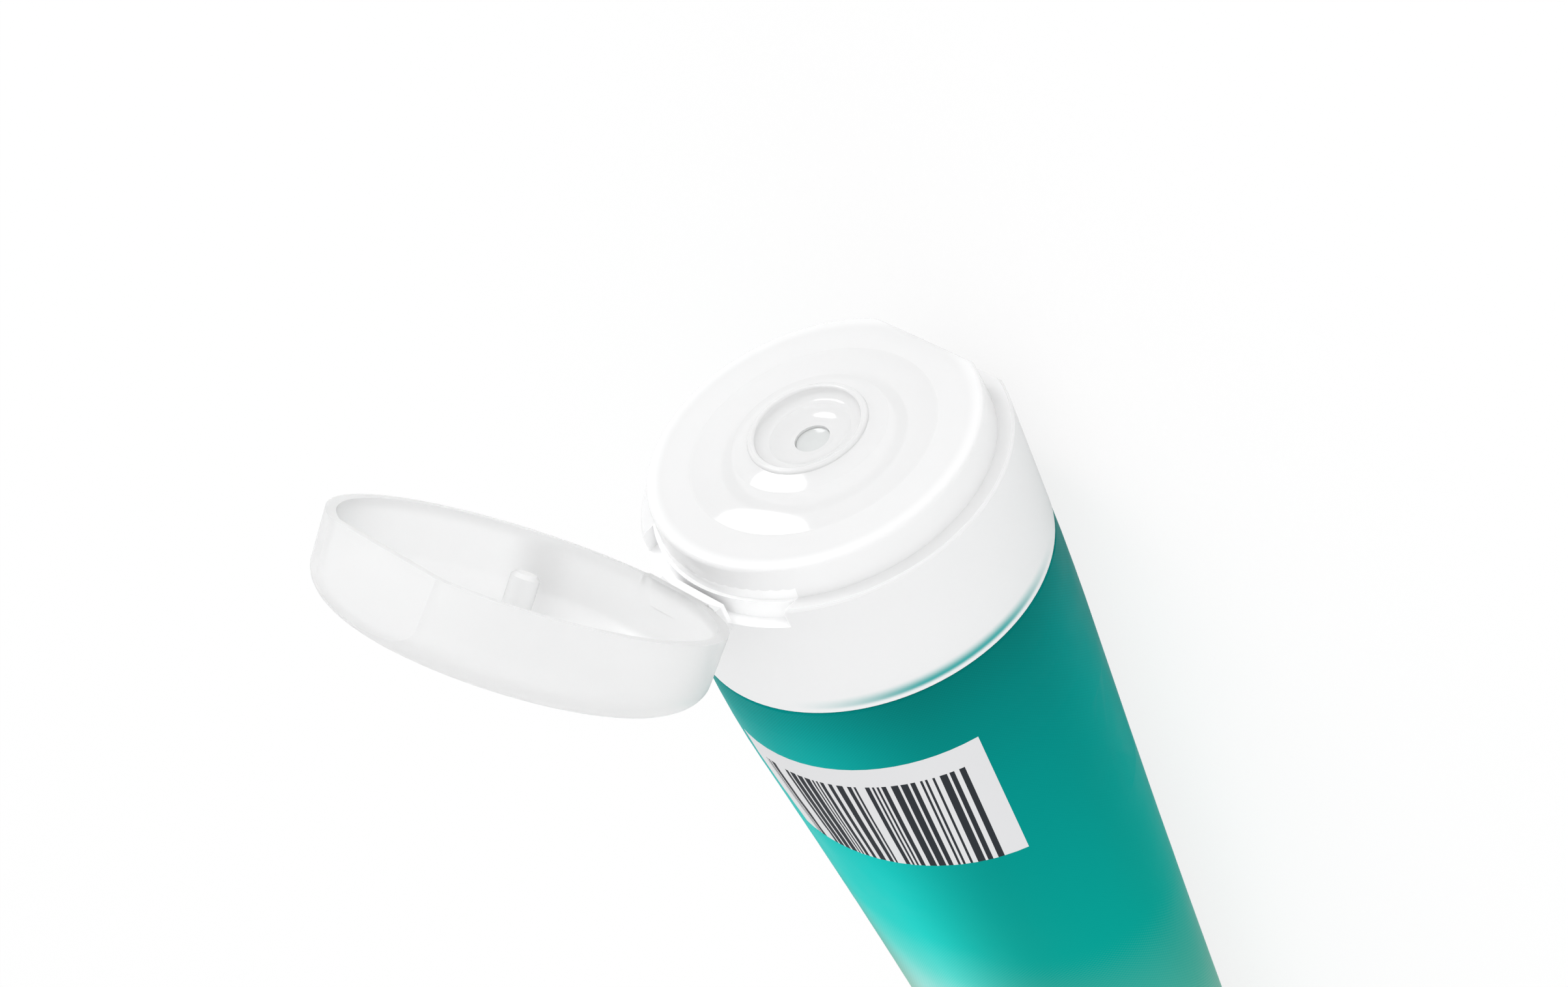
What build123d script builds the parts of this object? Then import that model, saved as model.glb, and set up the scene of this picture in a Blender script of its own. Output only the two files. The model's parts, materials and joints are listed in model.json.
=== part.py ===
from build123d import *
import math
import os

# A squeeze tube of lubricant with a push-fit flip-top cap, lying on its front with the lid open.
# Every piece is drawn in the tube's own frame: +Z out of the cap along the tube, +X to the finger
# flat at the front, the hinge at the back, and the origin where the cap meets the sleeve.

# Sleeve: extruded plastic tube, round at the cap and pressed flat at the tail
tube_radius = 20.0
tube_length = 166.0
sleeve_wall = 0.5
round_length = 8.3
seal_band = 7.0
seal_thickness = 1.1
seal_closing = 8.0
seal_step = 0.08
tail_half_thickness = 2.0
cavity_tip = 0.3
lip_drop = 0.5
lip_width = 1.5
lip_rise = 0.35
taper_shares = (0.03, 0.058, 0.087, 0.115, 0.2, 0.3, 0.42, 0.55, 0.7, 0.85, 1.0)
oval_first_share = 1.75
oval_second_share = 0.75
cavity_end_share = 0.7

# Head: shoulder and neck moulded on to the sleeve
weld_gap = 0.05
weld_lap = 3.0
shoulder_wall = 1.2
shoulder_rise = 2.2
neck_radius = 8.0
neck_bore_radius = 6.2
neck_top_gap = 1.6
neck_bead = 0.45
neck_bead_drop = 3.8
neck_bead_length = 1.6

# Lubricant that fills the sleeve
gel_gap = 0.1
gel_headspace = 4.0

# Cap base: skirt, lid seat, collar, crowned deck and nozzle
skirt_gap = 0.12
skirt_overhang = 0.05
skirt_draft = 0.2
skirt_wall = 1.35
skirt_inner_chamfer = 0.8
seat_height = 15.5
seat_chamfer = 0.3
seat_width = 1.75
collar_draft = 0.3
collar_rise = 3.9
deck_wall = 1.4
collar_edge_round = 0.5
collar_corner_round = 1.2
deck_margin = 4.8
crown_lip = 0.1
nozzle_radius = 6.55
nozzle_foot = 1.95
nozzle_foot_rise = 1.1
nozzle_rise = 2.0
nozzle_round = 0.35
nozzle_edge_drop = 0.32
nozzle_lip = 0.45
bowl_step_radius = 4.4
bowl_step_depth = 1.05
bowl_floor_radius = 2.4
bowl_depth = 1.75
orifice_radius = 1.9
orifice_length = 4.0
orifice_wall = 1.1
crown_bulge_share = 0.022
flank_bulge_share = 0.015
bowl_bulge_share = 0.2
dish_bulge_share = 0.06
lip_bulge_share = 0.2

# Snap socket and plug under the deck, which hold the cap on the neck
socket_gap = 0.2
socket_wall = 1.2
socket_length = 12.0
socket_bead_length = 1.4
plug_gap = 0.15
plug_wall = 0.9
plug_length = 3.6

# Finger flat at the front of the cap
collar_flat_cut = 1.52
seat_flat_cut = 1.85
thumb_slope = 20.0

# Living hinge at the back, with a pocket cut in the skirt on each side of it
hinge_stand = 0.25
hinge_rise = 0.8
hinge_half_width = 4.6
hinge_pad_proud = 0.5
hinge_pad_depth = 3.3
hinge_pad_width = 1.45
hinge_film_thickness = 0.4
pocket_half_width = 11.2
pocket_depth = 2.3
pocket_reach = 1.35
pocket_wall = 1.1

# Lid: shallow flat-topped dome with a stopper for the nozzle
lid_open_angle = 130.4
lid_seat_gap = 0.3
lid_overhang = 0.35
lid_draft = 0.2
lid_wall_height = 5.2
lid_height = 9.5
lid_wall = 1.1
lid_shoulder_width = 7.0
lid_flat_cut = 1.85
quarter_turn = 90.0
lid_pad_height = 2.6
stopper_root_radius = 2.1
stopper_radius = 1.5
stopper_dip = 3.3
stopper_step = 0.7
stopper_chamfer = 0.4

# How far cutting shapes run past what they cut, and how near an edge is to where it is looked for
overrun = 5.0
edge_tolerance = 0.05

# Sizes that follow from the ones above
tail_depth = tube_length - seal_band - seal_closing
seal_depth = tube_length - seal_band
taper = (tube_radius - tail_half_thickness) / (tail_depth - round_length)
seal_half_width = math.pi / 2 * (tube_radius - sleeve_wall)
skirt_bottom_radius = tube_radius + skirt_overhang
skirt_top_radius = skirt_bottom_radius + skirt_draft
collar_base_radius = skirt_top_radius - seat_width
collar_radius = collar_base_radius - collar_draft
collar_flat = collar_radius - collar_flat_cut
seat_flat = skirt_top_radius - seat_flat_cut
crown_radius = collar_radius - deck_margin
deck_height = seat_height + collar_rise
nozzle_height = deck_height + nozzle_rise
nozzle_foot_radius = nozzle_radius + nozzle_foot
nozzle_foot_height = deck_height + nozzle_foot_rise
nozzle_crest_radius = nozzle_radius - nozzle_round
bowl_radius = nozzle_crest_radius - nozzle_lip
bowl_floor = nozzle_height - bowl_depth
deck_underside = deck_height - deck_wall
neck_top = deck_underside - neck_top_gap
neck_bead_height = neck_top - neck_bead_drop
socket_bottom = deck_underside - socket_length
pocket_radius = skirt_top_radius - pocket_reach
hinge_pad_reach = skirt_top_radius + hinge_pad_proud
hinge_pad_root = hinge_pad_reach - hinge_pad_width
hinge_reach = hinge_pad_reach + hinge_stand
hinge_height = seat_height + hinge_rise
lid_rim = seat_height + lid_seat_gap
lid_top = lid_rim + lid_height
lid_radius = skirt_top_radius + lid_overhang
lid_flat = lid_radius - lid_flat_cut
lid_top_radius = lid_radius - lid_draft - lid_shoulder_width
seat_underside = seat_height - deck_wall
socket_radius = neck_radius + neck_bead + socket_gap
skirt_inner_radius = skirt_bottom_radius - skirt_wall


def half_thickness(depth):
    """Half the sleeve's thickness, front to back: it curves gently into a straight taper."""
    if depth < 2 * round_length:
        return tube_radius - taper * depth**2 / (4 * round_length)
    return tube_radius - taper * (depth - round_length)


def half_width(thickness):
    """Half the width of an oval of that half thickness with the round sleeve's girth."""
    flatness = 1 - thickness / tube_radius
    spread = oval_first_share * flatness - oval_second_share * flatness**2
    return tube_radius * (1 + (math.pi / 2 - 1) * spread)


def opened(reach, height):
    """Where a point of the closed lid's middle section goes when the lid opens."""
    angle = math.radians(lid_open_angle)
    along = reach + hinge_reach
    above = height - hinge_height
    return (
        along * math.cos(angle) - above * math.sin(angle) - hinge_reach,
        along * math.sin(angle) + above * math.cos(angle) + hinge_height,
    )


# The tube rests on the end of its seal and on its front where the taper begins, so its axis leans
bend = round_length / taper
drop = tube_radius - seal_thickness / 2
rest_slope = (tube_length - math.sqrt(tube_length**2 - 4 * bend * drop)) / (2 * bend)
rest_depth = 2 * round_length * rest_slope / taper
lean = math.atan(rest_slope)
axis_height = (tube_radius + rest_slope * rest_depth / 2) * math.cos(lean)

# The lid's front edge and the end of the seal are the two ends of the lying tube
lid_tip_x, lid_tip_z = opened(lid_flat, lid_rim)
front_end = lid_tip_z * math.cos(lean) + lid_tip_x * math.sin(lean)
tail_end = -tube_length * math.cos(lean) - seal_thickness / 2 * math.sin(lean)

tube_plane = Plane(
    origin=(-(front_end + tail_end) / 2, 0, axis_height),
    x_dir=(math.sin(lean), 0, -math.cos(lean)),
    z_dir=(math.cos(lean), 0, math.sin(lean)),
)
lid_plane = Plane(
    tube_plane.location
    * Pos(-hinge_reach, 0, hinge_height)
    * Rot(0, -lid_open_angle, 0)
    * Pos(hinge_reach, 0, -hinge_height)
)
oval_plane = Plane(tube_plane.origin, x_dir=tube_plane.y_dir, z_dir=tube_plane.z_dir)
tube_section = Plane(tube_plane.origin, x_dir=tube_plane.x_dir, z_dir=-tube_plane.y_dir)
lid_section = Plane(lid_plane.origin, x_dir=lid_plane.x_dir, z_dir=-lid_plane.y_dir)
tube_axis = Axis(tube_plane.origin, tube_plane.z_dir)
lid_axis = Axis(lid_plane.origin, lid_plane.z_dir)

os.makedirs("parts", exist_ok=True)

# Sleeve
sleeve_depths = [share * tail_depth for share in taper_shares]
mouth_plane = oval_plane.offset(-lip_drop)
closing_end = tail_depth + seal_closing * cavity_end_share


def bulged_arc(start, end, bulge_share):
    """Arc between two points of a profile, bowed to its left by a share of its chord."""
    middle_x = (start[0] + end[0]) / 2 - bulge_share * (end[1] - start[1])
    middle_y = (start[1] + end[1]) / 2 + bulge_share * (end[0] - start[0])
    return ThreePointArc(start, (middle_x, middle_y), end)


with BuildPart() as tube_sleeve:
    with BuildSketch(mouth_plane):
        Circle(tube_radius)
    for depth in sleeve_depths:
        with BuildSketch(oval_plane.offset(-depth)):
            thickness = half_thickness(depth)
            Ellipse(half_width(thickness), thickness)
    loft(ruled=True)
    with BuildSketch(oval_plane.offset(-tail_depth)):
        Ellipse(half_width(tail_half_thickness), tail_half_thickness)
    with BuildSketch(oval_plane.offset(-seal_depth)):
        Ellipse(seal_half_width - seal_step, seal_thickness / 2 - seal_step)
    loft(ruled=True)
    with BuildSketch(oval_plane.offset(-tube_length)):
        Rectangle(2 * seal_half_width, seal_thickness)
    extrude(amount=seal_band)
    with BuildSketch(tube_section):
        with BuildLine():
            bulged_arc((tube_radius, -lip_drop), (tube_radius - lip_drop, 0), -lip_bulge_share)
            Polyline(
                (tube_radius - lip_drop, 0),
                (tube_radius - lip_width, lip_rise),
                (tube_radius - lip_width, lip_rise - sleeve_wall),
                (tube_radius - sleeve_wall, -lip_drop),
                (tube_radius, -lip_drop),
            )
        make_face()
    revolve(axis=tube_axis)
    with BuildSketch(mouth_plane):
        Circle(tube_radius - sleeve_wall)
    for depth in sleeve_depths:
        with BuildSketch(oval_plane.offset(-depth)):
            thickness = half_thickness(depth)
            Ellipse(half_width(thickness) - sleeve_wall, thickness - sleeve_wall)
    loft(ruled=True, mode=Mode.SUBTRACT)
    with BuildSketch(oval_plane.offset(-tail_depth)):
        Ellipse(half_width(tail_half_thickness) - sleeve_wall, tail_half_thickness - sleeve_wall)
    with BuildSketch(oval_plane.offset(-closing_end)):
        Ellipse(half_width(tail_half_thickness) - sleeve_wall, cavity_tip)
    loft(ruled=True, mode=Mode.SUBTRACT)

# Head
shoulder_edge = tube_radius - lip_width - weld_gap
weld_radius = tube_radius - sleeve_wall - weld_gap
neck_base = lip_rise + shoulder_rise
with BuildPart() as tube_head:
    with BuildSketch(tube_section):
        with BuildLine():
            Polyline(
                (weld_radius, -weld_lap),
                (weld_radius, -lip_drop - weld_gap),
                (shoulder_edge, lip_rise - sleeve_wall - weld_gap),
                (shoulder_edge, lip_rise),
                (neck_radius, neck_base),
                (neck_radius, neck_bead_height - neck_bead_length / 2),
                (neck_radius + neck_bead, neck_bead_height),
                (neck_radius, neck_bead_height + neck_bead_length / 2),
                (neck_radius, neck_top),
                (neck_bore_radius, neck_top),
                (neck_bore_radius, neck_base - shoulder_wall),
                (weld_radius - shoulder_wall, lip_rise - shoulder_wall - sleeve_wall),
                (weld_radius - shoulder_wall, -weld_lap),
                close=True,
            )
        make_face()
    revolve(axis=tube_axis)

# Lubricant
gel_inset = sleeve_wall + gel_gap
with BuildPart() as lubricant_gel:
    with BuildSketch(mouth_plane):
        Circle(tube_radius - gel_inset)
    for depth in sleeve_depths:
        with BuildSketch(oval_plane.offset(-depth)):
            thickness = half_thickness(depth)
            Ellipse(half_width(thickness) - gel_inset, thickness - gel_inset)
    loft(ruled=True)
    split(bisect_by=tube_plane.offset(-gel_headspace), keep=Keep.BOTTOM)

# Cap base
crown_edge = (crown_radius, deck_height + crown_lip)
nozzle_start = (nozzle_foot_radius, nozzle_foot_height)
nozzle_edge = (nozzle_radius, nozzle_height - nozzle_edge_drop)
nozzle_crest = (nozzle_crest_radius, nozzle_height)
bowl_rim = (bowl_radius, nozzle_height - crown_lip)
bowl_step = (bowl_step_radius, nozzle_height - bowl_step_depth)
bowl_edge = (bowl_floor_radius, bowl_floor)
orifice_bottom = bowl_floor - orifice_length
thumb_drop = skirt_top_radius - seat_flat
thumb_depth = thumb_drop / math.tan(math.radians(thumb_slope))


def is_collar_corner(edge):
    """True for the two upright edges where the finger flat meets the round collar."""
    middle = tube_plane.to_local_coords(edge @ 0.5)
    on_flat = abs(middle.X - collar_flat) < edge_tolerance
    return on_flat and seat_height + edge_tolerance < middle.Z < deck_height - edge_tolerance


def is_deck_edge(edge):
    """True for the edges round the outside of the deck."""
    middle = tube_plane.to_local_coords(edge @ 0.5)
    outside = math.hypot(middle.X, middle.Y) > (crown_radius + collar_flat) / 2
    return outside and abs(middle.Z - deck_height) < edge_tolerance


with BuildPart() as cap_cavity:
    with BuildSketch(tube_section):
        with BuildLine():
            Polyline(
                (0, skirt_gap),
                (skirt_inner_radius + skirt_inner_chamfer, skirt_gap),
                (skirt_inner_radius, skirt_gap + skirt_inner_chamfer),
                (skirt_inner_radius, seat_underside),
                (collar_base_radius - deck_wall, seat_underside),
                (collar_radius - deck_wall, deck_underside),
                (bowl_radius, deck_underside),
                (orifice_radius + orifice_wall, orifice_bottom),
                (orifice_radius, orifice_bottom),
                (orifice_radius, bowl_floor),
                (0, bowl_floor),
                close=True,
            )
        make_face()
    revolve(axis=tube_axis)
    with BuildSketch(tube_section):
        with BuildLine():
            Polyline(
                (collar_flat - deck_wall, deck_height),
                (collar_flat - deck_wall, seat_underside),
                (seat_flat - skirt_wall, seat_underside),
                (skirt_top_radius - skirt_wall, seat_underside - thumb_depth),
                (skirt_top_radius, seat_underside - thumb_depth),
                (skirt_top_radius, deck_height),
                close=True,
            )
        make_face()
    extrude(amount=skirt_top_radius, both=True, mode=Mode.SUBTRACT)
    with BuildSketch(tube_plane.offset(seat_height)):
        with Locations((-skirt_top_radius, 0)):
            Rectangle(2 * skirt_top_radius, 2 * pocket_half_width + 2 * pocket_wall)
        Circle(pocket_radius - pocket_wall, mode=Mode.SUBTRACT)
    extrude(amount=-pocket_depth - pocket_wall, mode=Mode.SUBTRACT)

with BuildPart() as cap_base:
    with BuildSketch(tube_section):
        with BuildLine():
            Polyline(
                (0, bowl_floor),
                (0, skirt_gap),
                (skirt_bottom_radius, skirt_gap),
                (skirt_top_radius, seat_height - seat_chamfer),
                (skirt_top_radius - seat_chamfer, seat_height),
                (collar_base_radius, seat_height),
                (collar_radius, deck_height),
                crown_edge,
            )
            bulged_arc(crown_edge, nozzle_start, -crown_bulge_share)
            bulged_arc(nozzle_start, nozzle_edge, flank_bulge_share)
            bulged_arc(nozzle_edge, nozzle_crest, -bowl_bulge_share)
            bulged_arc(nozzle_crest, bowl_rim, -bowl_bulge_share)
            bulged_arc(bowl_rim, bowl_step, bowl_bulge_share)
            bulged_arc(bowl_step, bowl_edge, dish_bulge_share)
            Line(bowl_edge, (0, bowl_floor))
        make_face()
    revolve(axis=tube_axis)
    with BuildSketch(tube_section):
        with BuildLine():
            Polyline(
                (collar_flat, deck_height + overrun),
                (collar_flat, seat_height),
                (seat_flat, seat_height),
                (skirt_top_radius, seat_height - thumb_depth),
                (skirt_top_radius + overrun, seat_height - thumb_depth),
                (skirt_top_radius + overrun, deck_height + overrun),
                close=True,
            )
        make_face()
    extrude(amount=skirt_top_radius, both=True, mode=Mode.SUBTRACT)
    fillet(cap_base.edges().filter_by(is_collar_corner), collar_corner_round)
    fillet(cap_base.edges().filter_by(is_deck_edge), collar_edge_round)
    add(cap_cavity.part, mode=Mode.SUBTRACT)
    with BuildSketch(tube_section):
        with BuildLine():
            Polyline(
                (socket_radius, deck_underside),
                (socket_radius, neck_bead_height - neck_bead_length),
                (neck_radius + socket_gap, neck_bead_height - neck_bead_length - socket_bead_length / 2),
                (socket_radius, neck_bead_height - neck_bead_length - socket_bead_length),
                (socket_radius, socket_bottom),
                (socket_radius + socket_wall, socket_bottom),
                (socket_radius + socket_wall, deck_underside),
                close=True,
            )
            plug_radius = neck_bore_radius - plug_gap
            Polyline(
                (plug_radius, deck_underside),
                (plug_radius, deck_underside - plug_length),
                (plug_radius - plug_wall, deck_underside - plug_length),
                (plug_radius - plug_wall, deck_underside),
                close=True,
            )
        make_face()
    revolve(axis=tube_axis)
    with BuildSketch(tube_plane.offset(seat_height)):
        with Locations((-skirt_top_radius, 0)):
            Rectangle(2 * skirt_top_radius, 2 * pocket_half_width)
        Circle(pocket_radius, mode=Mode.SUBTRACT)
    extrude(amount=-pocket_depth, mode=Mode.SUBTRACT)
    with BuildSketch(tube_section):
        with Locations((-hinge_pad_reach, seat_height)):
            Rectangle(hinge_pad_reach - hinge_pad_root, hinge_pad_depth, align=(Align.MIN, Align.MAX))
    extrude(amount=hinge_half_width, both=True)

# Lid
lid_shoulder = (lid_radius - lid_draft, lid_rim + lid_wall_height)
lid_crown = (lid_top_radius, lid_top)
cavity_rim_radius = lid_radius - lid_wall
cavity_shoulder = (lid_shoulder[0] - lid_wall, lid_shoulder[1])
cavity_crown = (lid_top_radius, lid_top - lid_wall)


def round_shoulder(shoulder, crown):
    """Quarter oval from the top of a lid's wall to the edge of its flat top."""
    centre = (crown[0], shoulder[1])
    across = shoulder[0] - crown[0]
    up = crown[1] - shoulder[1]
    return EllipticalCenterArc(centre, across, up, start_angle=0, arc_size=quarter_turn)


with BuildPart() as lid_cavity:
    with BuildSketch(lid_section):
        with BuildLine():
            Polyline((0, cavity_crown[1]), (0, lid_rim), (cavity_rim_radius, lid_rim), cavity_shoulder)
            round_shoulder(cavity_shoulder, cavity_crown)
            Line(cavity_crown, (0, cavity_crown[1]))
        make_face()
    revolve(axis=lid_axis)
    with BuildSketch(lid_section):
        with Locations((lid_flat - lid_wall, lid_rim)):
            Rectangle(overrun, lid_height, align=(Align.MIN, Align.MIN))
    extrude(amount=lid_radius, both=True, mode=Mode.SUBTRACT)

stopper_tip = bowl_floor - stopper_dip
stopper_shoulder = bowl_floor + stopper_step
with BuildPart() as cap_lid:
    with BuildSketch(lid_section):
        with BuildLine():
            Polyline((0, lid_top), (0, lid_rim), (lid_radius, lid_rim), lid_shoulder)
            round_shoulder(lid_shoulder, lid_crown)
            Line(lid_crown, (0, lid_top))
        make_face()
    revolve(axis=lid_axis)
    with BuildSketch(lid_section):
        with Locations((lid_flat, lid_rim)):
            Rectangle(overrun, lid_height, align=(Align.MIN, Align.MIN))
    extrude(amount=lid_radius, both=True, mode=Mode.SUBTRACT)
    add(lid_cavity.part, mode=Mode.SUBTRACT)
    with BuildSketch(lid_section):
        with BuildLine():
            Polyline(
                (0, lid_top - lid_wall / 2),
                (0, stopper_tip),
                (stopper_radius - stopper_chamfer, stopper_tip),
                (stopper_radius, stopper_tip + stopper_chamfer),
                (stopper_radius, stopper_shoulder),
                (stopper_root_radius, stopper_shoulder + stopper_chamfer),
                (stopper_root_radius, lid_top - lid_wall / 2),
                close=True,
            )
        make_face()
    revolve(axis=lid_axis)
    with BuildSketch(lid_section):
        with Locations((-hinge_pad_reach, lid_rim)):
            Rectangle(hinge_pad_reach - hinge_pad_root, lid_pad_height, align=(Align.MIN, Align.MIN))
    extrude(amount=hinge_half_width, both=True)

# Living hinge film
with BuildPart() as hinge_film:
    with BuildSketch(tube_section):
        with BuildLine():
            Polyline(
                (-hinge_pad_reach + hinge_film_thickness, seat_height),
                (-hinge_pad_reach, seat_height),
                opened(-hinge_pad_reach, lid_rim + hinge_film_thickness),
                opened(-hinge_pad_reach, lid_rim),
                close=True,
            )
        make_face()
    extrude(amount=hinge_half_width, both=True)

tube_sleeve.part.label = "tube_sleeve"
tube_head.part.label = "tube_head"
lubricant_gel.part.label = "lubricant_gel"
cap_base.part.label = "cap_base"
cap_lid.part.label = "cap_lid"
hinge_film.part.label = "hinge_film"

export_step(tube_sleeve.part, "parts/tube_sleeve.step")
export_step(tube_head.part, "parts/tube_head.step")
export_step(lubricant_gel.part, "parts/lubricant_gel.step")
export_step(cap_base.part, "parts/cap_base.step")
export_step(cap_lid.part, "parts/cap_lid.step")
export_step(hinge_film.part, "parts/hinge_film.step")
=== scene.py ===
import json
import math

import bmesh
import bpy
from mathutils import Matrix, Vector


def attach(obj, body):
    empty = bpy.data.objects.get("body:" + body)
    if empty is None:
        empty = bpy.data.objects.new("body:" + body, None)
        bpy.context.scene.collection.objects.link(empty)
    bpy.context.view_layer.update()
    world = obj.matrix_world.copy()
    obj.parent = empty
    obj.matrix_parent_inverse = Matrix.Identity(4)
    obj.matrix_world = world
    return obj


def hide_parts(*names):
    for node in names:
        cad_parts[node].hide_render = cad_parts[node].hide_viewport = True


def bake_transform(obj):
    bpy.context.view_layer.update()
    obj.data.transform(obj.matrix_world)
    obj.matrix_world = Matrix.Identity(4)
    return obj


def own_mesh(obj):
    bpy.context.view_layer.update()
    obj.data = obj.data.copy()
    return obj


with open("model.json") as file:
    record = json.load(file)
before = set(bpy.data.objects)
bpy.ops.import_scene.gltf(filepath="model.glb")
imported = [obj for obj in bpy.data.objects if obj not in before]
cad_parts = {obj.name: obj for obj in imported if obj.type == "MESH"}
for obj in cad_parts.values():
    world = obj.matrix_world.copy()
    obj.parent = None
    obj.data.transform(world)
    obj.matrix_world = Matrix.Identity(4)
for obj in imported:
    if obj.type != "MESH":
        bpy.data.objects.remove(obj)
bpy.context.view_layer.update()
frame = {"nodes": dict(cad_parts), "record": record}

# Sleeve: a soft plastic tube, extruded round, printed turquoise under a satin varnish, filled from
# the tail and sealed flat across its full width. The print pales towards the tail through fine dots,
# and a white panel of plain bars lies on its back. A brighter turquoise is painted along the back, which
# faces up, as painted light and sheen, and a little of it on the underside as painted floor bounce.
MM = 0.001
ORIFICE_ABOVE_MOUTH = 17.65 * MM
orifice = next(mount for mount in frame["record"]["mounts"] if mount["name"] == "nozzle_orifice")
tube_axis = Vector(orifice["axis"]).normalized()
tube_across = Vector((0.0, 1.0, 0.0))
tube_front = tube_across.cross(tube_axis)
tube_mouth = Vector(orifice["pos_m"]) - tube_axis * ORIFICE_ABOVE_MOUTH


def new_material(name):
    """A node material with its surface shader, ready for more nodes."""
    material = bpy.data.materials.new(name)
    material.use_nodes = True
    return material, material.node_tree, material.node_tree.nodes["Principled BSDF"]


def link(tree, value, socket):
    """Sets a socket to a number or colour, or joins another node's output to it."""
    if isinstance(value, bpy.types.NodeSocket):
        tree.links.new(value, socket)
    else:
        socket.default_value = value


def math_node(tree, operation, *values):
    """Output of a math node."""
    node = tree.nodes.new("ShaderNodeMath")
    node.operation = operation
    for value, socket in zip(values, node.inputs):
        link(tree, value, socket)
    return node.outputs[0]


def product(tree, first, *others):
    """Product of two or more outputs."""
    for other in others:
        first = math_node(tree, "MULTIPLY", first, other)
    return first


def vector_from(tree, place, start):
    """Vector from a fixed point to the place that is shaded."""
    node = tree.nodes.new("ShaderNodeVectorMath")
    node.operation = "SUBTRACT"
    link(tree, place.outputs["Object"], node.inputs[0])
    link(tree, start, node.inputs[1])
    return node.outputs[0]


def dot_with(tree, vector, direction):
    """Length of a vector output along a direction."""
    node = tree.nodes.new("ShaderNodeVectorMath")
    node.operation = "DOT_PRODUCT"
    link(tree, vector, node.inputs[0])
    link(tree, direction, node.inputs[1])
    return node.outputs["Value"]


def tube_place(tree):
    """Depth below the cap and distance from the axis, in mm, and degrees round from the hinge."""
    from_mouth = vector_from(tree, tree.nodes.new("ShaderNodeTexCoord"), tube_mouth)
    depth = dot_with(tree, from_mouth, -tube_axis / MM)
    back = dot_with(tree, from_mouth, -tube_front / MM)
    side = dot_with(tree, from_mouth, -tube_across / MM)
    angle = math_node(tree, "DEGREES", math_node(tree, "ARCTAN2", side, back))
    squares = math_node(tree, "MULTIPLY_ADD", side, side, product(tree, back, back))
    return depth, math_node(tree, "SQRT", squares), angle


def ramp(tree, value, low, high, start=0.0, end=1.0):
    """Value taken smoothly from start to end between low and high."""
    node = tree.nodes.new("ShaderNodeMapRange")
    node.interpolation_type = "SMOOTHSTEP"
    for entry, socket in zip((value, low, high, start, end), node.inputs):
        link(tree, entry, socket)
    return node.outputs["Result"]


def within(tree, value, low, high):
    """1 where the value lies between low and high, and 0 elsewhere."""
    above = math_node(tree, "GREATER_THAN", value, low)
    below = math_node(tree, "LESS_THAN", value, high)
    return product(tree, above, below)


def mixed(tree, factor, first, second):
    """Colour output that goes from first to second with the factor."""
    node = tree.nodes.new("ShaderNodeMix")
    node.data_type = "RGBA"
    link(tree, factor, node.inputs["Factor"])
    link(tree, first, node.inputs["A"])
    link(tree, second, node.inputs["B"])
    return node.outputs["Result"]


def colour_ramp(tree, value, stops):
    """Colour output of a ramp given as (place, colour) stops."""
    node = tree.nodes.new("ShaderNodeValToRGB")
    elements = node.color_ramp.elements
    while len(elements) < len(stops):
        elements.new(0.5)
    for element, (place, colour) in zip(elements, stops):
        element.position = place
        element.color = (*colour, 1.0)
    link(tree, value, node.inputs["Fac"])
    return node.outputs["Color"]


def noise(tree, scale):
    """Soft noise over the object, with its lumps counted per metre."""
    place = tree.nodes.new("ShaderNodeTexCoord")
    node = tree.nodes.new("ShaderNodeTexNoise")
    node.inputs["Scale"].default_value = scale
    link(tree, place.outputs["Object"], node.inputs["Vector"])
    return node.outputs["Fac"]


def bump(tree, shader, height, distance, strength=1.0):
    """Joins a height to the shader's normal, with its depth in metres."""
    node = tree.nodes.new("ShaderNodeBump")
    node.inputs["Strength"].default_value = strength
    node.inputs["Distance"].default_value = distance
    link(tree, height, node.inputs["Height"])
    link(tree, node.outputs["Normal"], shader.inputs["Normal"])


PRINT_LENGTH = 166.0
PRINT_STOPS = (
    (0.0, (0.0, 0.168, 0.152)),
    (0.036, (0.0, 0.209, 0.19)),
    (0.1, (0.0, 0.255, 0.23)),
    (0.18, (0.0, 0.29, 0.256)),
    (0.265, (0.0, 0.325, 0.276)),
    (0.34, (0.06, 0.37, 0.295)),
    (0.45, (0.32, 0.57, 0.46)),
    (0.62, (0.62, 0.74, 0.65)),
    (0.85, (0.8, 0.84, 0.78)),
)
PAINTED_LIGHT_STOPS = (
    (0.0, (0.0, 0.25, 0.234)),
    (0.036, (0.0, 0.34, 0.32)),
    (0.1, (0.0, 0.455, 0.42)),
    (0.18, (0.0, 0.57, 0.52)),
    (0.25, (0.0, 0.62, 0.555)),
    (0.3, (0.08, 0.67, 0.595)),
    (0.41, (0.55, 0.8, 0.74)),
    (0.62, (0.72, 0.82, 0.76)),
    (0.85, (0.8, 0.84, 0.78)),
)
PAINTED_LIGHT_ANGLES = (12.0, 62.0)
PAINTED_BOUNCE_ANGLES = (92.0, 125.0)
PRINT_SHARE_UNDER_BOUNCE = 0.65
DOT_ANGLE_PITCH = 1.1
DOT_DEPTH_PITCH = 0.38
DOT_SHARE = 0.012
PANEL_WHITE = (0.71, 0.712, 0.722)
PANEL_DEPTHS = (9.1, 25.6)
PANEL_ANGLES = (-15.0, 70.6)
BAR_BLACK = (0.03, 0.034, 0.04)
BAR_DEPTHS = (12.0, 25.6)
BAR_ANGLES = (-8.0, 63.4)
BAR_MODULE = 0.76
BLANK_SHARE = 0.28
MODULES_PER_BLANK = 4.0
VARNISH_LUMPS = 160.0
VARNISH_SPREAD = (0.2, 0.8)
VARNISH_ROUGHNESS = (0.42, 0.5)
VARNISH_SPECULAR = 0.02
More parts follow.
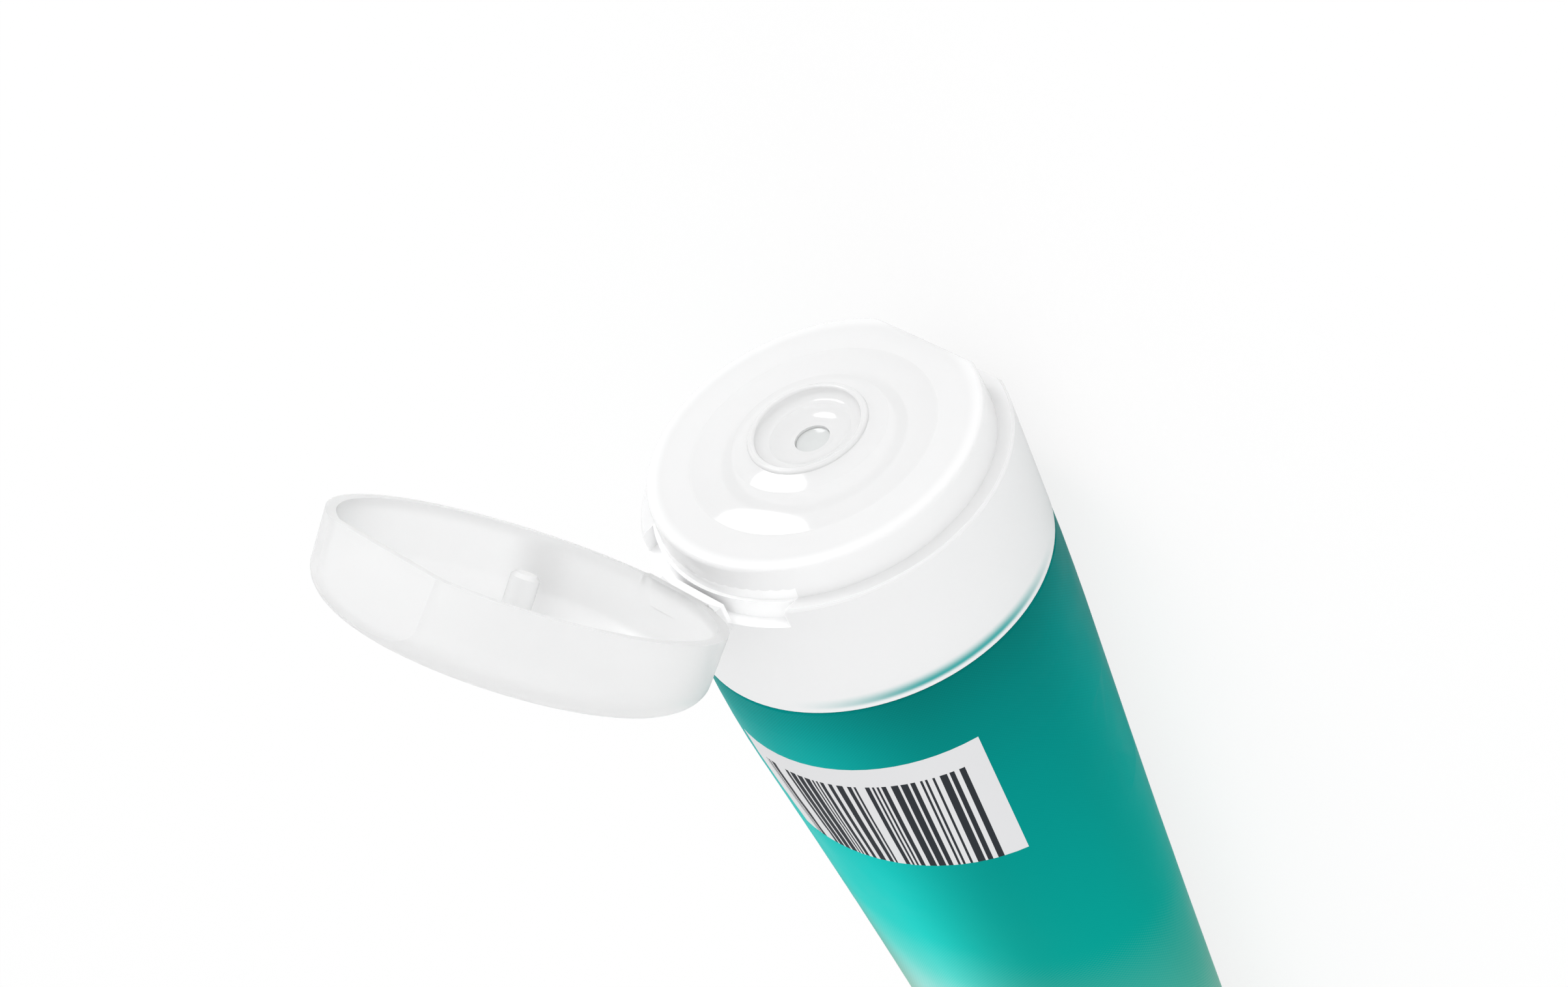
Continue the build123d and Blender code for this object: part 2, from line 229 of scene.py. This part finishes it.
SEAL_DEPTH = 159.0
RIDGE_PITCH = 1.6
RIDGE_SHARE = 0.35
RIPPLE_LUMPS = 70.0
RIPPLE_DEPTH = 0.25 * MM

printed_sleeve, tree, shader = new_material("printed_sleeve")
depth, _, angle = tube_place(tree)

dot_row = math_node(tree, "SINE", product(tree, angle, math.tau / DOT_ANGLE_PITCH))
dot_line = math_node(tree, "SINE", product(tree, depth, math.tau / DOT_DEPTH_PITCH))
fade = math_node(tree, "DIVIDE", depth, PRINT_LENGTH)
dotted_fade = math_node(tree, "MULTIPLY_ADD", product(tree, dot_row, dot_line), DOT_SHARE, fade)
turned = math_node(tree, "ABSOLUTE", angle)
# Painted light: the back, which faces up, takes the brighter stops, and the underside takes a little of
# them as painted floor bounce.
off_painted_light = ramp(tree, turned, *PAINTED_LIGHT_ANGLES)
print_share_beside_bounce = ramp(tree, turned, *PAINTED_BOUNCE_ANGLES, 1.0, PRINT_SHARE_UNDER_BOUNCE)
print_share = product(tree, off_painted_light, print_share_beside_bounce)
painted_light_colour = colour_ramp(tree, dotted_fade, PAINTED_LIGHT_STOPS)
print_and_painted_light = mixed(tree, print_share, painted_light_colour, colour_ramp(tree, dotted_fade, PRINT_STOPS))

module = math_node(tree, "FLOOR", math_node(tree, "DIVIDE", angle, BAR_MODULE))
chance = tree.nodes.new("ShaderNodeTexWhiteNoise")
chance.noise_dimensions = "1D"
link(tree, module, chance.inputs["W"])
filled = math_node(tree, "GREATER_THAN", chance.outputs["Value"], BLANK_SHARE)
spaced = math_node(tree, "GREATER_THAN", math_node(tree, "FLOORED_MODULO", module, MODULES_PER_BLANK), 0.5)
in_bar_rows = within(tree, depth, *BAR_DEPTHS)
in_bar_width = within(tree, angle, *BAR_ANGLES)
bars = product(tree, filled, spaced, in_bar_rows, in_bar_width)
panel_colour = mixed(tree, bars, (*PANEL_WHITE, 1.0), (*BAR_BLACK, 1.0))
in_panel = product(tree, within(tree, depth, *PANEL_DEPTHS), within(tree, angle, *PANEL_ANGLES))
link(tree, mixed(tree, in_panel, print_and_painted_light, panel_colour), shader.inputs["Base Color"])

varnish = ramp(tree, noise(tree, VARNISH_LUMPS), *VARNISH_SPREAD, *VARNISH_ROUGHNESS)
link(tree, varnish, shader.inputs["Roughness"])
shader.inputs["Specular IOR Level"].default_value = VARNISH_SPECULAR

in_seal = math_node(tree, "GREATER_THAN", depth, SEAL_DEPTH)
place = tree.nodes.new("ShaderNodeTexCoord")
ridge_phase = dot_with(tree, place.outputs["Object"], tube_across * math.tau / (RIDGE_PITCH * MM))
ridges = product(tree, math_node(tree, "SINE", ridge_phase), in_seal)
ripple = math_node(tree, "MULTIPLY_ADD", ridges, RIDGE_SHARE, noise(tree, RIPPLE_LUMPS))
bump(tree, shader, ripple, RIPPLE_DEPTH)
frame["nodes"]["tube_sleeve"].data.materials[0] = printed_sleeve

# Head: the stiff white shoulder and neck that are welded into the sleeve's mouth.
# It is moulded polyethylene, hidden under the cap once that is pushed on.
HEAD_WHITE = (0.93, 0.935, 0.935)
HEAD_SHADE = (0.9, 0.905, 0.905)
HEAD_LUMPS = 220.0
HEAD_GRAIN = 900.0
HEAD_ROUGHNESS = (0.4, 0.5)
NOISE_SPREAD = (0.3, 0.7)

white_head, tree, shader = new_material("white_head")
head_colour = mixed(tree, noise(tree, HEAD_LUMPS), (*HEAD_WHITE, 1.0), (*HEAD_SHADE, 1.0))
link(tree, head_colour, shader.inputs["Base Color"])
head_satin = ramp(tree, noise(tree, HEAD_GRAIN), *NOISE_SPREAD, *HEAD_ROUGHNESS)
link(tree, head_satin, shader.inputs["Roughness"])
frame["nodes"]["tube_head"].data.materials[0] = white_head

# Lubricant: a clear, thick water-based gel that fills the sleeve. It stands in the neck and in the
# orifice too, up to just under the bowl.
GEL_TINT = (0.955, 0.97, 0.968)
GEL_CLOUD = (0.92, 0.945, 0.94)
GEL_LUMPS = 60.0
GEL_WAVES = 140.0
GEL_ROUGHNESS = (0.04, 0.1)
GEL_CLARITY = 0.3
GEL_IOR = 1.38
NECK_GEL_RADIUS = 6.1
NECK_GEL_BOTTOM = -3.9
NECK_GEL_TOP = 14.1
BEAD_RADIUS = 1.88
BEAD_BOTTOM = 15.7
BEAD_TOP = 19.35
MENISCUS = 0.3
MENISCUS_SHARES = (0.2, 0.4, 0.6, 0.8, 0.93, 1.0)
TURNS = 64


def on_tube(front, across, up):
    """Point given along the tube's own front, across and axis directions, in mm."""
    return tube_mouth + (tube_front * front + tube_across * across + tube_axis * up) * MM


def standing_gel(name, radius, bottom, top):
    """A round column of gel on the tube's axis, with a hollow top where it wets the wall."""
    profile = [(radius * share, top - MENISCUS + MENISCUS * share ** 2) for share in MENISCUS_SHARES]
    profile += [(radius, (2 * top + bottom) / 3), (radius, (top + 2 * bottom) / 3), (radius, bottom)]
    angles = [math.tau * turn / TURNS for turn in range(TURNS)]
    column = bmesh.new()
    rings = []
    for reach, height in profile:
        points = [on_tube(reach * math.cos(angle), reach * math.sin(angle), height) for angle in angles]
        rings.append([column.verts.new(point) for point in points])
    for inner, outer in zip(rings, rings[1:]):
        for turn in range(TURNS):
            after = (turn + 1) % TURNS
            column.faces.new((inner[turn], outer[turn], outer[after], inner[after]))
    column.faces.new(rings[0])
    column.faces.new(rings[-1][::-1])
    bmesh.ops.recalc_face_normals(column, faces=column.faces)
    mesh = bpy.data.meshes.new(name)
    column.to_mesh(mesh)
    column.free()
    for face in mesh.polygons:
        face.use_smooth = len(face.vertices) == 4
    piece = bpy.data.objects.new(name, mesh)
    bpy.context.scene.collection.objects.link(piece)
    mesh.materials.append(clear_gel)
    return piece


clear_gel, tree, shader = new_material("clear_gel")
gel_colour = mixed(tree, noise(tree, GEL_LUMPS), (*GEL_TINT, 1.0), (*GEL_CLOUD, 1.0))
link(tree, gel_colour, shader.inputs["Base Color"])
gel_gloss = ramp(tree, noise(tree, GEL_WAVES), *NOISE_SPREAD, *GEL_ROUGHNESS)
link(tree, gel_gloss, shader.inputs["Roughness"])
shader.inputs["Transmission Weight"].default_value = GEL_CLARITY
shader.inputs["IOR"].default_value = GEL_IOR
frame["nodes"]["lubricant_gel"].data.materials[0] = clear_gel
gel_neck = standing_gel("gel_neck", NECK_GEL_RADIUS, NECK_GEL_BOTTOM, NECK_GEL_TOP)
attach(gel_neck, "tube")
gel_bead = standing_gel("gel_bead", BEAD_RADIUS, BEAD_BOTTOM, BEAD_TOP)
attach(gel_bead, "tube")
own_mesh(gel_bead)

# Cap base: milky see-through polypropylene, moulded with a satin skirt and a glossy collar, deck and
# nozzle. It is pushed over the neck and holds there by its ring. A teal colour is painted on the foot of
# the skirt as painted light, standing in for the sleeve seen through it, and the pocket beside the hinge
# is painted in the paler clear colour, standing in for light through its thin walls.
CAP_MILK = (0.955, 0.957, 0.96)
CAP_CLEAR = (0.987, 0.988, 0.99)
PAINTED_SKIRT_GLOW = (0.035, 0.38, 0.37)
GLOW_FOOT = (-0.4, -0.95)
GLOW_TOP = (-2.3, -1.0)
GLOW_START = (18.0, 66.0)
GLOW_END = (130.0, 88.0)
GLOW_DENSITY = 0.75
SEAT_EDGE = (-15.1, -15.7)
SKIRT_ROUGHNESS = 0.5
DECK_ROUGHNESS = 0.05
PLASTIC_GRAIN = 1400.0
GRAIN_ROUGHNESS = 0.05
SKIRT_CLARITY = 0.18
COLLAR_CLARITY = 0.17
COLLAR_RADII = (16.4, 17.6)
HINGE_COLLAR_CLARITY = 0.125
HINGE_ANGLES = (38.0, 75.0)
RIM_CLARITY = 0.245
RIM_RADII = (13.1, 13.6)
DECK_CLARITY = 0.265
DECK_RADII = (5.8, 7.6)
NOZZLE_CLARITY = 0.285
POCKET_FLOOR = 13.15
POCKET_HALF_WIDTH = 11.25
POCKET_RADII = (18.4, 20.3)
PLASTIC_IOR = 1.45
PLASTIC_WAVES = 90.0
WAVE_STRENGTH = 0.6
BASE_WAVE_DEPTH = 0.05 * MM

frosted_base, tree, shader = new_material("frosted_base")
depth, radius, angle = tube_place(tree)
above_seat = ramp(tree, depth, *SEAT_EDGE)
turned = math_node(tree, "ABSOLUTE", angle)
place = tree.nodes.new("ShaderNodeTexCoord")
across = math_node(tree, "ABSOLUTE", dot_with(tree, place.outputs["Object"], tube_across / MM))
pocket_width = math_node(tree, "LESS_THAN", across, POCKET_HALF_WIDTH)
pocket_side = math_node(tree, "LESS_THAN", turned, HINGE_ANGLES[0])
pocket_reach = within(tree, radius, *POCKET_RADII)
pocket_height = math_node(tree, "LESS_THAN", depth, -POCKET_FLOOR)
# Painted light: the pocket beside the hinge takes the paler clear colour and no see-through share,
# standing in for light through its thin walls.
painted_light_pocket = product(tree, pocket_width, pocket_side, pocket_reach, pocket_height)

# Painted light: the teal on the skirt's foot stands in for the sleeve's colour seen through the plastic.
glow_low = ramp(tree, depth, *GLOW_FOOT)
glow_high = ramp(tree, depth, *GLOW_TOP)
glow_left = ramp(tree, angle, *GLOW_START)
glow_right = ramp(tree, angle, *GLOW_END)
painted_glow = product(tree, glow_low, glow_high, glow_left, glow_right)
clear_part_or_lit_pocket = math_node(tree, "MAXIMUM", above_seat, painted_light_pocket)
milk_with_painted_pocket = mixed(tree, clear_part_or_lit_pocket, (*CAP_MILK, 1.0), (*CAP_CLEAR, 1.0))
link(tree, mixed(tree, painted_glow, milk_with_painted_pocket, (*PAINTED_SKIRT_GLOW, 1.0)), shader.inputs["Base Color"])

gloss = ramp(tree, above_seat, 0.0, 1.0, SKIRT_ROUGHNESS, DECK_ROUGHNESS)
grained = math_node(tree, "MULTIPLY_ADD", noise(tree, PLASTIC_GRAIN), GRAIN_ROUGHNESS, gloss)
link(tree, grained, shader.inputs["Roughness"])

deck_clarity = ramp(tree, radius, *DECK_RADII, NOZZLE_CLARITY, DECK_CLARITY)
rim_clarity = ramp(tree, radius, *RIM_RADII, deck_clarity, RIM_CLARITY)
wall_clarity = ramp(tree, turned, *HINGE_ANGLES, HINGE_COLLAR_CLARITY, COLLAR_CLARITY)
collar_clarity = ramp(tree, radius, *COLLAR_RADII, rim_clarity, wall_clarity)
upper_clarity = ramp(tree, above_seat, 0.0, 1.0, SKIRT_CLARITY, collar_clarity)
beside_pocket = math_node(tree, "SUBTRACT", 1.0, painted_light_pocket)
beside_painted_glow = math_node(tree, "MULTIPLY_ADD", painted_glow, -GLOW_DENSITY, 1.0)
clarity = product(tree, upper_clarity, beside_pocket, beside_painted_glow)
link(tree, clarity, shader.inputs["Transmission Weight"])
shader.inputs["IOR"].default_value = PLASTIC_IOR
bump(tree, shader, noise(tree, PLASTIC_WAVES), BASE_WAVE_DEPTH, WAVE_STRENGTH)
frame["nodes"]["cap_base"].data.materials[0] = frosted_base

# Hinge: the thin film between base and lid, moulded in one with both and bent by the lid; here it is built
# in one fixed bend.
# It starts flush under the pad on the skirt and ends in the pad on the lid's rim.
FILM_BASE = (-20.55, 15.35)
FILM_BEND = (-20.55, 16.2)
FILM_LID = (-20.98, 16.74)
FILM_HALF_WIDTH = 4.6
FILM_THICK = 0.2
FILM_THIN = 0.11
FILM_EDGE_SHARE = 0.35
FILM_EDGE_POWER = 8
FILM_STEPS = 16
FILM_SPANS = 12
FILM_LUMPS = 500.0
FILM_ROUGHNESS = (0.3, 0.36)
FILM_CLARITY = 0.35


def film_ring(step):
    """Closed outline of the film at a step along its bend: one face out and the other back."""
    share = step / FILM_STEPS
    base, bend, lid = (Vector(point) for point in (FILM_BASE, FILM_BEND, FILM_LID))
    middle = base * (1 - share) ** 2 + bend * 2 * share * (1 - share) + lid * share ** 2
    heading = ((bend - base) * (1 - share) + (lid - bend) * share).normalized()
    outward = Vector((-heading.y, heading.x))
    half = FILM_THICK + (FILM_THIN - FILM_THICK) * math.sin(math.pi * share)
    ring = []
    for side in (1, -1):
        for span in range(FILM_SPANS + 1):
            across = side * FILM_HALF_WIDTH * (2 * span / FILM_SPANS - 1)
            edge = math.sqrt(max(0.0, 1 - (across / FILM_HALF_WIDTH) ** FILM_EDGE_POWER))
            rounded = FILM_EDGE_SHARE + (1 - FILM_EDGE_SHARE) * edge
            point = middle + outward * side * half * rounded
            ring.append(on_tube(point.x, across, point.y))
    return ring


film_mesh = bmesh.new()
rings = [[film_mesh.verts.new(point) for point in film_ring(step)] for step in range(FILM_STEPS + 1)]
for lower, upper in zip(rings, rings[1:]):
    for index in range(len(lower)):
        after = (index + 1) % len(lower)
        film_mesh.faces.new((lower[index], lower[after], upper[after], upper[index]))
film_mesh.faces.new(rings[0][::-1])
film_mesh.faces.new(rings[-1])
bmesh.ops.recalc_face_normals(film_mesh, faces=film_mesh.faces)
film_data = bpy.data.meshes.new("hinge_web")
film_mesh.to_mesh(film_data)
film_mesh.free()
for face in film_data.polygons:
    face.use_smooth = True
hinge_web = bpy.data.objects.new("hinge_web", film_data)
bpy.context.scene.collection.objects.link(hinge_web)
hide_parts("hinge_film")
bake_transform(hinge_web)

frosted_film, tree, shader = new_material("frosted_film")
film_colour = mixed(tree, noise(tree, FILM_LUMPS), (*CAP_CLEAR, 1.0), (*CAP_MILK, 1.0))
link(tree, film_colour, shader.inputs["Base Color"])
film_satin = ramp(tree, noise(tree, PLASTIC_GRAIN), *NOISE_SPREAD, *FILM_ROUGHNESS)
link(tree, film_satin, shader.inputs["Roughness"])
shader.inputs["Transmission Weight"].default_value = FILM_CLARITY
shader.inputs["IOR"].default_value = PLASTIC_IOR
film_data.materials.append(frosted_film)

# Lid: a shallow dished shell of the same milky polypropylene, satin all over, with a flat at the front
# to lift it by and a short stopper that closes the orifice. It is milkier outside than inside, and
# milkiest at its thick end by the hinge.
LID_MILK = (0.988, 0.989, 0.99)
LID_THIN = (0.994, 0.995, 0.996)
LID_LUMPS = 45.0
LID_DEPTH = 9.5 * MM
FACE_TURN = (-0.5 * MM, 0.5 * MM)
OUTSIDE_ROUGHNESS = 0.36
INSIDE_ROUGHNESS = 0.3
OUTSIDE_CLARITY = 0.54
INSIDE_CLARITY = 0.9
HINGE_END = (-16.5, -11.5)
HINGE_END_OUTSIDE = 0.3
HINGE_END_INSIDE = 0.2
RIM_EDGE = (0.3, 1.5)
RIM_EDGE_CLARITY = 0.52
LID_WAVE_DEPTH = 0.04 * MM
lid_top = next(mount for mount in frame["record"]["mounts"] if mount["name"] == "lid_top")
lid_axis = Vector(lid_top["axis"]).normalized()
lid_front = tube_across.cross(lid_axis)
lid_mouth = Vector(lid_top["pos_m"]) - lid_axis * LID_DEPTH

frosted_lid, tree, shader = new_material("frosted_lid")
lid_colour = mixed(tree, noise(tree, LID_LUMPS), (*LID_MILK, 1.0), (*LID_THIN, 1.0))
link(tree, lid_colour, shader.inputs["Base Color"])
place = tree.nodes.new("ShaderNodeTexCoord")
from_lid_mouth = vector_from(tree, place, lid_mouth)
faces_out = dot_with(tree, from_lid_mouth, place.outputs["Normal"])
above_rim = dot_with(tree, from_lid_mouth, lid_axis / MM)
along_lid = dot_with(tree, from_lid_mouth, lid_front / MM)

lid_satin = ramp(tree, faces_out, *FACE_TURN, INSIDE_ROUGHNESS, OUTSIDE_ROUGHNESS)
grained = math_node(tree, "MULTIPLY_ADD", noise(tree, PLASTIC_GRAIN), GRAIN_ROUGHNESS, lid_satin)
link(tree, grained, shader.inputs["Roughness"])

inside_clarity = ramp(tree, along_lid, *HINGE_END, HINGE_END_INSIDE, INSIDE_CLARITY)
outside_clarity = ramp(tree, along_lid, *HINGE_END, HINGE_END_OUTSIDE, OUTSIDE_CLARITY)
side_clarity = ramp(tree, faces_out, *FACE_TURN, inside_clarity, outside_clarity)
lid_clarity = ramp(tree, above_rim, *RIM_EDGE, RIM_EDGE_CLARITY, side_clarity)
link(tree, lid_clarity, shader.inputs["Transmission Weight"])
shader.inputs["IOR"].default_value = PLASTIC_IOR
bump(tree, shader, noise(tree, PLASTIC_WAVES), LID_WAVE_DEPTH, WAVE_STRENGTH)
frame["nodes"]["cap_lid"].data.materials[0] = frosted_lid

# Studio: a white floor that keeps a soft shadow, and a white surround. A broad weak softbox hangs
# overhead, a small one in front glints on the nozzle's slopes, and a third fills the side.
FLOOR_HALF = 4.0
FLOOR_CELLS = 8
FLOOR_WHITE = (0.93, 0.93, 0.93)
FLOOR_ROUGHNESS = 0.9
FLOOR_LIFT = 0.85
ROOM_WHITE = (1.0, 1.0, 1.0)
ROOM_LIGHT = 1.0
TOP_PLACE = Vector((-0.4, -0.25, 1.0))
TOP_SIZE = (1.0, 1.0)
TOP_WATTS = 0.6
FRONT_PLACE = tube_mouth + Vector((0.84, 0.53, 0.16)) * 0.9
FRONT_SIZE = (0.42, 0.22)
FRONT_WATTS = 1.6
SIDE_PLACE = tube_mouth + Vector((0.55, -0.85, 0.3)) * 1.1
SIDE_SIZE = (0.9, 0.9)
SIDE_WATTS = 1.2


def seen_rays(tree):
    """1 for rays that show the background, directly, in a reflection or through clear plastic."""
    path = tree.nodes.new("ShaderNodeLightPath")
    glints = math_node(tree, "MAXIMUM", path.outputs["Is Glossy Ray"], path.outputs["Is Transmission Ray"])
    return math_node(tree, "MAXIMUM", path.outputs["Is Camera Ray"], glints)


def softbox(name, place, size, watts):
    """An oval area light that faces the tube's mouth."""
    lamp = bpy.data.lights.new(name, "AREA")
    lamp.shape = "ELLIPSE"
    lamp.size, lamp.size_y = size
    lamp.energy = watts
    box = bpy.data.objects.new(name, lamp)
    box.location = place
    box.rotation_euler = (tube_mouth - place).to_track_quat("-Z", "Y").to_euler()
    bpy.context.scene.collection.objects.link(box)


floor_mesh = bmesh.new()
bmesh.ops.create_grid(floor_mesh, x_segments=FLOOR_CELLS, y_segments=FLOOR_CELLS, size=FLOOR_HALF)
floor_data = bpy.data.meshes.new("studio_floor")
floor_mesh.to_mesh(floor_data)
floor_mesh.free()
studio_floor = bpy.data.objects.new("studio_floor", floor_data)
bpy.context.scene.collection.objects.link(studio_floor)

white_floor, tree, shader = new_material("white_floor")
shader.inputs["Base Color"].default_value = (*FLOOR_WHITE, 1.0)
shader.inputs["Roughness"].default_value = FLOOR_ROUGHNESS
shader.inputs["Specular IOR Level"].default_value = 0.0
white_light = tree.nodes.new("ShaderNodeEmission")
floor_mix = tree.nodes.new("ShaderNodeMixShader")
link(tree, product(tree, seen_rays(tree), FLOOR_LIFT), floor_mix.inputs[0])
link(tree, shader.outputs[0], floor_mix.inputs[1])
link(tree, white_light.outputs[0], floor_mix.inputs[2])
link(tree, floor_mix.outputs[0], tree.nodes["Material Output"].inputs["Surface"])
floor_data.materials.append(white_floor)

world = bpy.data.worlds.new("white_studio")
bpy.context.scene.world = world
world.use_nodes = True
tree = world.node_tree
room = tree.nodes["Background"]
room.inputs["Color"].default_value = (*ROOM_WHITE, 1.0)
room.inputs["Strength"].default_value = ROOM_LIGHT
backdrop = tree.nodes.new("ShaderNodeBackground")
backdrop.inputs["Color"].default_value = (*ROOM_WHITE, 1.0)
world_mix = tree.nodes.new("ShaderNodeMixShader")
link(tree, seen_rays(tree), world_mix.inputs[0])
link(tree, room.outputs[0], world_mix.inputs[1])
link(tree, backdrop.outputs[0], world_mix.inputs[2])
link(tree, world_mix.outputs[0], tree.nodes["World Output"].inputs["Surface"])

softbox("top_softbox", TOP_PLACE, TOP_SIZE, TOP_WATTS)
softbox("front_softbox", FRONT_PLACE, FRONT_SIZE, FRONT_WATTS)
softbox("side_softbox", SIDE_PLACE, SIDE_SIZE, SIDE_WATTS)

# Camera: looks down on the lying tube from beyond its cap, rolled as the photograph is.
# Its place and turn are given along the tube's own front, across and axis directions.
EYE = Vector((-154.373, -295.357, 294.426)) * MM
RIGHT = Vector((0.687755, -0.650156, -0.322941))
DOWN = Vector((-0.638968, -0.331018, -0.694369))
FORWARD = Vector((0.344549, 0.683904, -0.643088))
LENS = 97.176
SENSOR_WIDTH = 36.0
NEAREST_SEEN = 0.01

tube_turn = Matrix((tube_front, tube_across, tube_axis)).transposed()
camera_turn = (tube_turn @ Matrix((RIGHT, -DOWN, -FORWARD)).transposed()).to_4x4()
lens = bpy.data.cameras.new("photo_camera")
lens.sensor_width = SENSOR_WIDTH
lens.lens = LENS
lens.clip_start = NEAREST_SEEN
camera = bpy.data.objects.new("photo_camera", lens)
camera.matrix_world = Matrix.Translation(tube_mouth + tube_turn @ EYE) @ camera_turn
bpy.context.scene.collection.objects.link(camera)
bpy.context.scene.camera = camera
bpy.context.scene.view_settings.view_transform = "Standard"
